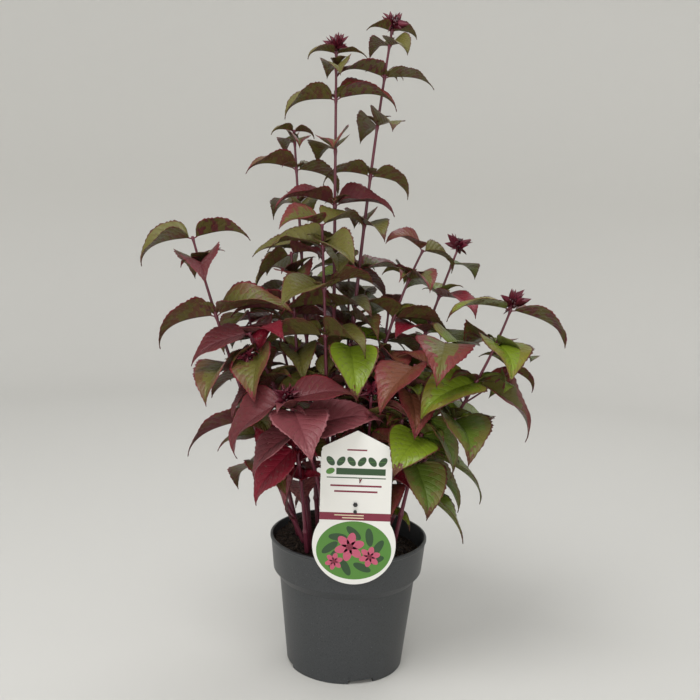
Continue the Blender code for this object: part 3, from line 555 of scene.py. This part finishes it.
def curve_table(shoot, foot_height):
    foot = Vector((*shoot.foot, foot_height))
    tip = Vector(shoot.tip)
    reach, rise = shoot.bend
    across = foot + (tip - foot) * reach
    middle = Vector((across.x, across.y, foot_height + (tip.z - foot_height) * rise))
    line = []
    for i in range(201):
        t = i / 200
        line.append(foot * (1 - t) ** 2 + middle * 2 * t * (1 - t) + tip * t**2)
    return measured(line)


def measured(line):
    lengths = [0.0]
    for before, after in zip(line, line[1:]):
        lengths.append(lengths[-1] + (after - before).length)
    return line, lengths


def point_at(table, length):
    line, lengths = table
    length = min(max(length, 0.0), lengths[-1])
    for i in range(1, len(line)):
        if lengths[i] >= length:
            part = (length - lengths[i - 1]) / (lengths[i] - lengths[i - 1])
            return line[i - 1].lerp(line[i], part)
    return line[-1].copy()


def lean_at(table, length):
    way = point_at(table, length) - point_at(table, length - 0.010)
    lean = Vector((0, 0, 1)).rotation_difference(way.normalized())
    return Quaternion().slerp(lean, LEAN_SHARE)


def blade_half_width(along):
    if along <= 0.0 or along >= 1.0:
        return 0.0
    return math.sin(math.pi * along**0.6) * (1.0 - along) ** 0.35 / 0.886


def blade_direction(pose, along):
    drop = pose.droop * (0.15 * along + 0.85 * along**3)
    return direction(pose.heading + pose.sweep * along, pose.rise - drop)


def leaf_frames(pose, steps):
    centre = direction(pose.heading, pose.rise + PETIOLE_LIFT) * pose.length * PETIOLE_SHARE
    frames = []
    for i in range(steps + 1):
        along = i / steps
        ahead = blade_direction(pose, along)
        heading = math.radians(pose.heading + pose.sweep * along)
        level = Vector((-math.sin(heading), math.cos(heading), 0.0))
        roll = math.radians(pose.roll)
        side = level * math.cos(roll) + ahead.cross(level) * math.sin(roll)
        normal = ahead.cross(side)
        place = pose.root + pose.lean @ centre
        frames.append((place, pose.lean @ side, pose.lean @ normal, pose.lean @ ahead))
        centre = centre + blade_direction(pose, (i + 0.5) / steps) * pose.length / steps
    return frames


def leaf_pose(chance, root, lean, heading, length, hang):
    return Pose(
        root=root,
        lean=lean,
        heading=heading + chance.uniform(-9, 9),
        rise=chance.uniform(4, 22) - hang * chance.uniform(0.3, 1.0),
        droop=chance.uniform(60, 100),
        sweep=chance.uniform(-16, 16),
        roll=chance.uniform(-20, 20),
        fold=chance.uniform(12, 30) + (UPRIGHT_FOLD if hang < UPRIGHT_HANG else 0),
        length=length * chance.uniform(0.90, 1.10),
        width=length * (LEAF_WIDTH_SHARE + HANG_WIDTH * hang) * chance.uniform(0.92, 1.08),
    )


def found_pose(pose, tree):
    for size in DODGE_SIZES:
        for turn, lift in DODGES:
            moved = pose._replace(
                heading=pose.heading + turn,
                rise=pose.rise + lift,
                length=pose.length * size,
                width=pose.width * size,
            )
            tip = leaf_frames(moved, SOLID_LEAF_STEPS)[-1][0]
            if tree.find(tip)[2] < FOUND_WITHIN:
                return moved
    return None


def pairs_on(table, top, gaps, turn, leaf, tip_leaf, hang, chance, tree):
    placed, nodes_at = [], []
    along = top
    for i, gap in enumerate(gaps):
        along -= gap
        nodes_at.append(along)
        root = point_at(table, along)
        lean = lean_at(table, along)
        size = leaf * min(1.0, tip_leaf + (1.0 - tip_leaf) * i / 2)
        for half in (0, 180):
            pose = found_pose(leaf_pose(chance, root, lean, turn + 90 * i + half, size, hang), tree)
            if pose:
                placed.append(pose)
    return placed, nodes_at


def head_at(place, way, chance):
    heart = place + way * HEAD_RADIUS * HEART_SHARE
    side = way.orthogonal().normalized()
    cross = way.cross(side)
    bracts = []
    for i in range(HEAD_BRACTS):
        turn = i * BRACT_TURN
        spread = math.radians(chance.uniform(25, 95))
        flat = side * math.cos(turn) + cross * math.sin(turn)
        ahead = (way * math.cos(spread) + flat * math.sin(spread)).normalized()
        bracts.append((ahead, BRACT_LENGTH * chance.uniform(0.85, 1.25)))
    return heart, way, bracts


plants = []
for number, shoot in enumerate(SHOOTS):
    chance = random.Random(100 + number)
    table = curve_table(shoot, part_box("cane_" + shoot.name)[0].z)
    whole = table[1][-1]
    gaps = [shoot.top_gap]
    for i in range(1, shoot.pairs):
        gaps.append(shoot.gap * min(1.0, shoot.opening * i) * chance.uniform(0.92, 1.08))
    solid = frame["nodes"]["foliage_" + shoot.name].data
    tree = KDTree(len(solid.vertices))
    for vertex in solid.vertices:
        tree.insert(vertex.co, vertex.index)
    tree.balance()
    heads, twigs = [], []
    if shoot.head:
        heads.append(head_at(Vector(shoot.tip), lean_at(table, whole) @ Vector((0, 0, 1)), chance))
    for twig in shoot.twigs:
        root = point_at(table, whole - sum(gaps) * twig.at)
        way = direction(twig.heading, twig.rise)
        line = []
        for i in range(TWIG_STEPS + 1):
            upward = Vector((0, 0, TWIG_UPTURN * twig.length * (i / TWIG_STEPS) ** 2))
            line.append(root + way * twig.length * i / TWIG_STEPS + upward)
        twig_table = measured(line)
        twigs.append(twig_table)
        if twig.head:
            down = Vector((0, 0, -1)) if twig.head == "hang" else way
            heads.append(head_at(line[-1], down, chance))
    leaves, nodes_at = pairs_on(
        table, whole, gaps, shoot.turn, shoot.leaf, shoot.tip_leaf, shoot.hang, chance, tree
    )
    for twig, twig_table in zip(shoot.twigs, twigs):
        twig_gaps = [shoot.top_gap] + [twig.length / (twig.pairs + 0.5)] * (twig.pairs - 1)
        leaves += pairs_on(
            twig_table, twig_table[1][-1], twig_gaps[: twig.pairs], twig.heading + 90, twig.leaf,
            TWIG_TIP_LEAF, 0, chance, tree
        )[0]
    plants.append((shoot, table, nodes_at, leaves, heads, twigs))

# Leaf colours: autumn tints as plain colours, for the upper side, edge and underside of each kind
# of leaf, with one for all stalks. The underside tints are the undersides' own colours darkened with
# painted shade, as undersides lying in shadow. Veins lie in each as a fine relief.
veins = bpy.data.node_groups.new("leaf_relief", "ShaderNodeTree")
veins.interface.new_socket("Height", in_out="OUTPUT", socket_type="NodeSocketFloat")
veins.interface.new_socket("Mask", in_out="OUTPUT", socket_type="NodeSocketFloat")
nodes, links = veins.nodes, veins.links
leaf_map = nodes.new("ShaderNodeUVMap")
leaf_map.uv_map = "leaf_map"
split = nodes.new("ShaderNodeSeparateXYZ")
links.new(leaf_map.outputs["UV"], split.inputs["Vector"])


def sum_node(operation, first, second=None):
    node = nodes.new("ShaderNodeMath")
    node.operation = operation
    for socket, value in zip(node.inputs, (first, second)):
        if value is None:
            continue
        if isinstance(value, float):
            socket.default_value = value
        else:
            links.new(value, socket)
    return node.outputs["Value"]


off_middle = sum_node("ABSOLUTE", sum_node("SUBTRACT", split.outputs["Y"], 0.5))
lengthwise = sum_node("MULTIPLY", split.outputs["X"], 9.0)
slanted = sum_node("SUBTRACT", lengthwise, sum_node("MULTIPLY", off_middle, 5.0))
to_vein = sum_node("PINGPONG", slanted, 0.5)
side_vein = sum_node("SUBTRACT", 1.0, sum_node("MINIMUM", sum_node("DIVIDE", to_vein, 0.075), 1.0))
main_vein = sum_node("SUBTRACT", 1.0, sum_node("MINIMUM", sum_node("DIVIDE", off_middle, 0.022), 1.0))
mask = sum_node("MAXIMUM", side_vein, main_vein)
place = nodes.new("ShaderNodeTexCoord")
net = nodes.new("ShaderNodeTexVoronoi")
net.feature = "DISTANCE_TO_EDGE"
net.inputs["Scale"].default_value = 420.0
links.new(place.outputs["Object"], net.inputs["Vector"])
puffed = sum_node("MINIMUM", sum_node("MULTIPLY", net.outputs["Distance"], 3.0), 0.5)
swell = sum_node("MULTIPLY", to_vein, 1.6)
sunk = sum_node("ADD", sum_node("MULTIPLY", mask, -1.0), swell)
height = sum_node("ADD", sunk, sum_node("MULTIPLY", puffed, 0.5))
result = nodes.new("NodeGroupOutput")
links.new(height, result.inputs["Height"])
links.new(mask, result.inputs["Mask"])

TINTS = {
    "crimson": (0.200, 0.008, 0.022),
    "dusty_rose": (0.190, 0.048, 0.056),
    "maroon": (0.115, 0.022, 0.026),
    "bronze": (0.165, 0.055, 0.028),
    "red_brown": (0.170, 0.034, 0.028),
    "olive": (0.125, 0.112, 0.024),
    "olive_brown": (0.130, 0.070, 0.026),
    "yellow_green": (0.190, 0.175, 0.022),
    "bright_green": (0.170, 0.235, 0.016),
    "deep_green": (0.095, 0.140, 0.018),
    "edge_brown": (0.110, 0.036, 0.020),
    "edge_red": (0.160, 0.018, 0.024),
    "edge_rose": (0.260, 0.085, 0.095),
    # Underside tints: each underside's own colour darkened with painted shade, as undersides lying in shadow.
    "under_olive": (0.105, 0.085, 0.026),
    "under_brown": (0.110, 0.050, 0.028),
    "under_rose": (0.180, 0.062, 0.058),
    "under_maroon": (0.105, 0.028, 0.030),
    "under_green": (0.150, 0.165, 0.045),
    "stalk_red": (0.150, 0.022, 0.036),
}
tint_materials = {}
for tint, colour in TINTS.items():
    leaf_material = bpy.data.materials.new("leaf_" + tint)
    leaf_material.use_nodes = True
    nodes, links = leaf_material.node_tree.nodes, leaf_material.node_tree.links
    shader = nodes["Principled BSDF"]
    shader.inputs["Base Color"].default_value = (*colour, 1.0)
    shader.inputs["Specular IOR Level"].default_value = 0.32
    relief = nodes.new("ShaderNodeGroup")
    relief.node_tree = veins
    bump = nodes.new("ShaderNodeBump")
    bump.inputs["Strength"].default_value = 0.55
    bump.inputs["Distance"].default_value = 0.0006
    rough = nodes.new("ShaderNodeMapRange")
    rough.inputs["To Min"].default_value = 0.28 if "green" in tint else 0.38
    rough.inputs["To Max"].default_value = 0.58
    links.new(relief.outputs["Height"], bump.inputs["Height"])
    links.new(relief.outputs["Mask"], rough.inputs["Value"])
    links.new(rough.outputs["Result"], shader.inputs["Roughness"])
    links.new(bump.outputs["Normal"], shader.inputs["Normal"])
    tint_materials[tint] = leaf_material

# A leaf kind is the tints of its upper side about the midrib and outside that, its edge, and its
# underside with the patches on it; both underside tints hold painted shade.
KINDS = {
    "crimson": ("crimson", "crimson", "edge_red", "under_rose", "under_maroon"),
    "rose": ("dusty_rose", "dusty_rose", "edge_rose", "under_rose", "under_rose"),
    "maroon": ("maroon", "maroon", "edge_red", "under_maroon", "under_brown"),
    "bronze": ("olive_brown", "bronze", "edge_brown", "under_olive", "under_brown"),
    "red_brown": ("bronze", "red_brown", "edge_red", "under_rose", "under_brown"),
    "olive": ("olive", "olive", "edge_brown", "under_olive", "under_brown"),
    "olive_brown": ("olive", "olive_brown", "edge_red", "under_brown", "under_olive"),
    "olive_red": ("olive", "red_brown", "edge_red", "under_olive", "under_maroon"),
    "yellow": ("bright_green", "yellow_green", "edge_brown", "under_green", "under_olive"),
    "bright": ("bright_green", "bright_green", "edge_brown", "under_green", "under_green"),
    "deep": ("deep_green", "olive", "edge_brown", "under_green", "under_olive"),
}
# The kinds dealt out on each spray, the commoner ones named more often.
DEALT = {
    "tall_right": "olive olive_red olive olive_brown olive",
    "tall_centre": "olive olive_brown olive_red olive maroon",
    "tall_left": "olive olive_brown olive olive_red",
    "inner_left": "olive maroon olive_red olive",
    "front_centre": "olive olive_brown olive_red olive",
    "far_left": "olive_brown olive olive_red olive_brown maroon",
    "left_inner": "maroon olive_brown crimson olive_red",
    "far_right": "bright yellow bright deep yellow olive_red",
    "inner_right": "olive yellow red_brown olive_red olive",
    "rear_right": "bright deep yellow crimson",
    "front_left": "rose rose rose maroon",
    "low_left": "crimson",
    "centre": "red_brown maroon bright olive_red",
    "front_right": "red_brown maroon crimson olive_red",
    "right_inner": "yellow bright red_brown bronze olive_red",
    "mid_right": "bronze yellow olive_red red_brown olive",
    "low_right": "bright deep olive yellow",
    "low_front_right": "bright yellow deep",
    "mid_left": "maroon olive crimson olive_brown",
    "centre_back": "bright red_brown olive olive_red bright",
    "rear_left": "maroon olive crimson olive_brown",
    "rear_centre": "olive bright maroon deep",
    "rear_far_right": "bright yellow deep bronze",
    "rear_low": "red_brown crimson olive maroon",
}

# Leaves: thin closed blades with toothed wavy edges, a sunk midrib and a long drip tip, each on a
# short round stalk sunk in its stem. Tiny leaves stand in the axils. One mesh for each cane.
LEAF_ROWS = (-1.0, -0.92, -0.72, -0.48, -0.24, -0.06, 0.0, 0.06, 0.24, 0.48, 0.72, 0.92, 1.0)
TINY_ROWS = (-1.0, -0.5, 0.0, 0.5, 1.0)


def add_leaf(pose, kind, chance, points, faces, tints, corners, steps=LEAF_STEPS, across=LEAF_ROWS):
    inner, outer, edge, under, shaded_patch = KINDS[kind]
    blotch = chance.uniform(0, 100)
    frames = leaf_frames(pose, steps)
    wave, ripple = chance.uniform(0, 6.28), pose.length * chance.uniform(0.012, 0.030)
    teeth = 15 if steps > 20 else 5
    start = len(points)
    rows = len(across)
    tip_turns = chance.random() < 0.4
    for sheet in ("upper", "under"):
        for i, (centre, side, normal, ahead) in enumerate(frames):
            along = i / steps
            broad = pose.width / 2 * blade_half_width(along)
            fold = math.radians(pose.fold * (1 - 0.6 * along))
            for share in across:
                off = abs(share)
                tooth = 1.0
                forward = 0.0
                if off == 1.0 and 0 < i < steps:
                    phase = (along * teeth) % 1.0
                    tooth = 0.95 + 0.10 * phase
                    forward = 0.012 * pose.length * phase
                half = max(broad * tooth, 0.00022)
                lift = half * math.sin(fold) * off**0.85
                sway = math.sin(along * 11.0 + wave + 1.4 * share)
                lift += ripple * off**2 * sway * min(1.0, broad / 0.012)
                lift += 0.0005 * math.cos(2 * math.pi * (9 * along - 2.5 * off)) * 4 * off * (1 - off)
                thick = 0.00024 if off > 0.1 else 0.00075 * (1.15 - along)
                if sheet == "upper":
                    lift -= 0.00035 if off < 0.05 else 0.0
                    thick = 0.0
                spot = centre + side * half * share * math.cos(fold) + ahead * forward
                points.append(tuple(spot + normal * (lift - thick)))
    per_sheet = (steps + 1) * rows
    for sheet in (0, 1):
        base = start + sheet * per_sheet
        for i in range(steps):
            for j in range(rows - 1):
                a = base + i * rows + j
                quad = (a, a + rows, a + rows + 1, a + 1)
                spread = ((i, j), (i + 1, j), (i + 1, j + 1), (i, j + 1))
                if sheet:
                    quad, spread = quad[::-1], spread[::-1]
                faces.append(quad)
                corners.extend((row / steps, (across[column] + 1) / 2) for row, column in spread)
                off = abs(across[j] + across[j + 1]) / 2
                ragged = noise(Vector((i * 0.35, across[j] * 3, blotch)))
                at_edge = off > 0.92 or i >= steps - 2 or (tip_turns and i > steps * 0.80 + ragged * 5)
                # The underside sheet takes the underside tints, whose colour holds painted shade.
                if sheet:
                    tints.append(edge if off > 0.92 else (under if ragged < 0.12 else shaded_patch))
                elif at_edge:
                    tints.append(edge)
                else:
                    tints.append(inner if off + 0.45 * ragged + 0.5 * (i / steps) ** 2 < 0.62 else outer)
    rim = [start + i * rows for i in range(steps + 1)]
    rim += [start + steps * rows + j for j in range(1, rows)]
    rim += [start + i * rows + rows - 1 for i in range(steps - 1, -1, -1)]
    rim += [start + j for j in range(rows - 2, 0, -1)]
    for k, here in enumerate(rim):
        there = rim[(k + 1) % len(rim)]
        faces.append((there, here, here + per_sheet, there + per_sheet))
        corners.extend(((0.5, 1.0),) * 4)
        tints.append(edge)
    foot = len(points)
    base_point, side, normal, ahead = frames[0]
    stalk = (
        (pose.root, 0.0010),
        (pose.root.lerp(base_point, 0.5), 0.00075),
        (base_point + ahead * 0.0015, 0.00065),
    )
    for place, thickness in stalk:
        for k in range(6):
            turn = math.pi / 3 * k
            out = (side * math.cos(turn) + normal * math.sin(turn)) * thickness
            points.append(tuple(place + out - normal * 0.0004))
    for ring in range(2):
        for k in range(6):
            a, b = foot + 6 * ring + k, foot + 6 * ring + (k + 1) % 6
            faces.append((a, b, b + 6, a + 6))
            corners.extend(((0.5, 1.0),) * 4)
            tints.append("stalk_red")
    for cap in (tuple(range(foot + 5, foot - 1, -1)), tuple(range(foot + 12, foot + 18))):
        faces.append(cap)
        corners.extend(((0.5, 1.0),) * 6)
        tints.append("stalk_red")


for number, (shoot, table, nodes_at, leaves, heads, twigs) in enumerate(plants):
    chance = random.Random(900 + number)
    dealt = DEALT[shoot.name].split()
    points, faces, tints, corners = [], [], [], []
    for pose in leaves:
        add_leaf(pose, chance.choice(dealt), chance, points, faces, tints, corners)
    for pair, along in enumerate(nodes_at[1:]):
        root, lean = point_at(table, along + 0.002), lean_at(table, along)
        for half in (0, 180):
            for tiny in range(chance.choice((1, 2, 2, 3))):
                long = chance.uniform(0.012, 0.024) if shoot.tip[2] > 0.48 else chance.uniform(0.020, 0.044)
                heading = shoot.turn + 90 * (pair + 1) + half + 50 * (tiny - 0.5)
                pose = leaf_pose(chance, root, lean, heading, long, 0)
                rise = pose.rise + chance.uniform(0, 35)
                pose = pose._replace(rise=rise, width=long * chance.uniform(0.48, 0.62))
                add_leaf(pose, chance.choice(dealt), chance, points, faces, tints, corners, 12, TINY_ROWS)
    mesh = bpy.data.meshes.new("leaves_" + shoot.name)
    mesh.from_pydata(points, [], faces)
    used = sorted(set(tints))
    for tint in used:
        mesh.materials.append(tint_materials[tint])
    mesh.polygons.foreach_set("material_index", [used.index(tint) for tint in tints])
    flat_corners = [value for corner in corners for value in corner]
    mesh.uv_layers.new(name="leaf_map").data.foreach_set("uv", flat_corners)
    mesh.shade_smooth()
    spray = bpy.data.objects.new("leaves_" + shoot.name, mesh)
    scene.collection.objects.link(spray)
    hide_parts("foliage_" + shoot.name)
    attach(spray, "root")

# Stems: smooth maroon canes with swollen joints at every pair of leaves, thinner to the tip, with
# their side twigs. Their bark has faint lengthwise streaks. One mesh.
points, faces = [], []


def add_stem(table, radius_at, joints, points, faces, sides=12):
    lengths = table[1]
    stations = {lengths[-1] * i / 60 for i in range(61)}
    for joint in joints:
        for step in (-0.004, -0.002, 0.0, 0.002, 0.004):
            stations.add(min(max(joint + step, 0.0), lengths[-1]))
    stations = sorted(stations)
    start = len(points)
    side = Vector((1.0, 0.0, 0.0))
    for length in stations:
        here = point_at(table, length)
        ahead = (point_at(table, length + 0.004) - point_at(table, length - 0.004)).normalized()
        side = (side - ahead * side.dot(ahead)).normalized()
        other = ahead.cross(side)
        swell = max([0.0] + [math.exp(-(((length - joint) / 0.0026) ** 2)) for joint in joints])
        thickness = radius_at(length / lengths[-1]) * (1 + 0.45 * swell)
        for k in range(sides):
            turn = 2 * math.pi * k / sides
            points.append(tuple(here + (side * math.cos(turn) + other * math.sin(turn)) * thickness))
    for i in range(len(stations) - 1):
        for k in range(sides):
            a, b = start + i * sides + k, start + i * sides + (k + 1) % sides
            faces.append((a, b, b + sides, a + sides))
    faces.append(tuple(range(start + sides - 1, start - 1, -1)))
    faces.append(tuple(range(len(points) - sides, len(points))))


for shoot, table, nodes_at, leaves, heads, twigs in plants:
    lower = [nodes_at[-1] - 0.062 * k for k in range(1, 5) if nodes_at[-1] - 0.062 * k > 0.02]
    add_stem(table, lambda share: 0.0029 - 0.0017 * share**0.8, nodes_at + lower, points, faces)
    for twig_table in twigs:
        add_stem(twig_table, lambda share: 0.0010 - 0.0003 * share, [], points, faces, 8)
mesh = bpy.data.meshes.new("stems")
mesh.from_pydata(points, [], faces)
mesh.shade_smooth()
stems = bpy.data.objects.new("stems", mesh)
scene.collection.objects.link(stems)
bark = bpy.data.materials.new("maroon_bark")
bark.use_nodes = True
nodes, links = bark.node_tree.nodes, bark.node_tree.links
shader = nodes["Principled BSDF"]
shader.inputs["Base Color"].default_value = (0.130, 0.022, 0.040, 1.0)
shader.inputs["Roughness"].default_value = 0.42
place = nodes.new("ShaderNodeTexCoord")
stretch = nodes.new("ShaderNodeMapping")
stretch.inputs["Scale"].default_value = (900.0, 900.0, 60.0)
streaks = nodes.new("ShaderNodeTexNoise")
streaks.inputs["Scale"].default_value = 1.0
bump = nodes.new("ShaderNodeBump")
bump.inputs["Strength"].default_value = 0.3
bump.inputs["Distance"].default_value = 0.0004
links.new(place.outputs["Object"], stretch.inputs["Vector"])
links.new(stretch.outputs["Vector"], streaks.inputs["Vector"])
links.new(streaks.outputs["Fac"], bump.inputs["Height"])
links.new(bump.outputs["Normal"], shader.inputs["Normal"])
mesh.materials.append(bark)
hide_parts(*["cane_" + shoot.name for shoot in SHOOTS])
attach(stems, "root")

# Flower heads: pointed dark bracts standing every way round a cluster of small glossy berries, at
# the tips of some canes and hanging from two twigs. One mesh with a material each for bracts and
# berries.
chance = random.Random(55)
points, faces, which = [], [], []
ball = bmesh.new()
bmesh.ops.create_icosphere(ball, subdivisions=2, radius=1.0)
ball.verts.ensure_lookup_table()
ball_points = [v.co.copy() for v in ball.verts]
ball_faces = [tuple(v.index for v in face.verts) for face in ball.faces]
ball.free()
for shoot, table, nodes_at, leaves, heads, twigs in plants:
    for heart, way, bracts in heads:
        wanted = [(ahead, long * 1.08) for ahead, long in bracts]
        for k in range(22):
            spread = Vector((chance.gauss(0, 1), chance.gauss(0, 1), chance.gauss(0, 1))).normalized()
            ahead = (spread + way * 0.7).normalized()
            wanted.append((ahead, chance.uniform(0.009, 0.016)))
        for ahead, long in wanted:
            other = Vector((chance.uniform(-1, 1), chance.uniform(-1, 1), chance.uniform(-1, 1)))
            side = ahead.cross(other).normalized()
            normal = ahead.cross(side)
            curl = chance.uniform(-0.25, 0.35) * long
            start = len(points)
            for i in range(8):
                along = i / 7
                half = 0.0034 * (long / 0.015) * math.sin(math.pi * (0.12 + 0.88 * along) ** 0.8) + 0.00008
                middle = heart + ahead * long * along + normal * curl * along * along
                for share, drop in ((-1, 0.4), (0, 0.0), (1, 0.4), (0, -0.25)):
                    rise = drop * half if drop >= 0 else -0.0003
                    points.append(tuple(middle + side * half * share + normal * rise))
            for i in range(7):
                for k in range(4):
                    a, b = start + 4 * i + k, start + 4 * i + (k + 1) % 4
                    faces.append((a, a + 4, b + 4, b))
                    which.append(0)
            faces.append((start, start + 1, start + 2, start + 3))
            faces.append(tuple(start + 28 + k for k in (3, 2, 1, 0)))
            which += [0, 0]
        for k in range(14):
            spread = Vector((chance.gauss(0, 1), chance.gauss(0, 1), chance.gauss(0, 1))).normalized()
            middle = heart + (spread + way * 0.35) * 0.0052
            radius = chance.uniform(0.0016, 0.0026)
            start = len(points)
            points += [tuple(middle + p * radius) for p in ball_points]
            faces += [tuple(start + n for n in face) for face in ball_faces]
            which += [1] * len(ball_faces)
mesh = bpy.data.meshes.new("flower_heads")
mesh.from_pydata(points, [], faces)
for head_part, colour, roughness in (
    ("bract_wine", (0.120, 0.010, 0.024), 0.45),
    ("berry_black_red", (0.040, 0.004, 0.008), 0.22),
):
    head_material = bpy.data.materials.new(head_part)
    head_material.use_nodes = True
    nodes, links = head_material.node_tree.nodes, head_material.node_tree.links
    shader = nodes["Principled BSDF"]
    shader.inputs["Base Color"].default_value = (*colour, 1.0)
    shader.inputs["Roughness"].default_value = roughness
    place = nodes.new("ShaderNodeTexCoord")
    grain = nodes.new("ShaderNodeTexNoise")
    grain.inputs["Scale"].default_value = 700.0
    bump = nodes.new("ShaderNodeBump")
    bump.inputs["Strength"].default_value = 0.2
    bump.inputs["Distance"].default_value = 0.0003
    links.new(place.outputs["Object"], grain.inputs["Vector"])
    links.new(grain.outputs["Fac"], bump.inputs["Height"])
    links.new(bump.outputs["Normal"], shader.inputs["Normal"])
    mesh.materials.append(head_material)
mesh.polygons.foreach_set("material_index", which)
mesh.shade_smooth()
flower_heads = bpy.data.objects.new("flower_heads", mesh)
scene.collection.objects.link(flower_heads)
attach(flower_heads, "root")

low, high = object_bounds()
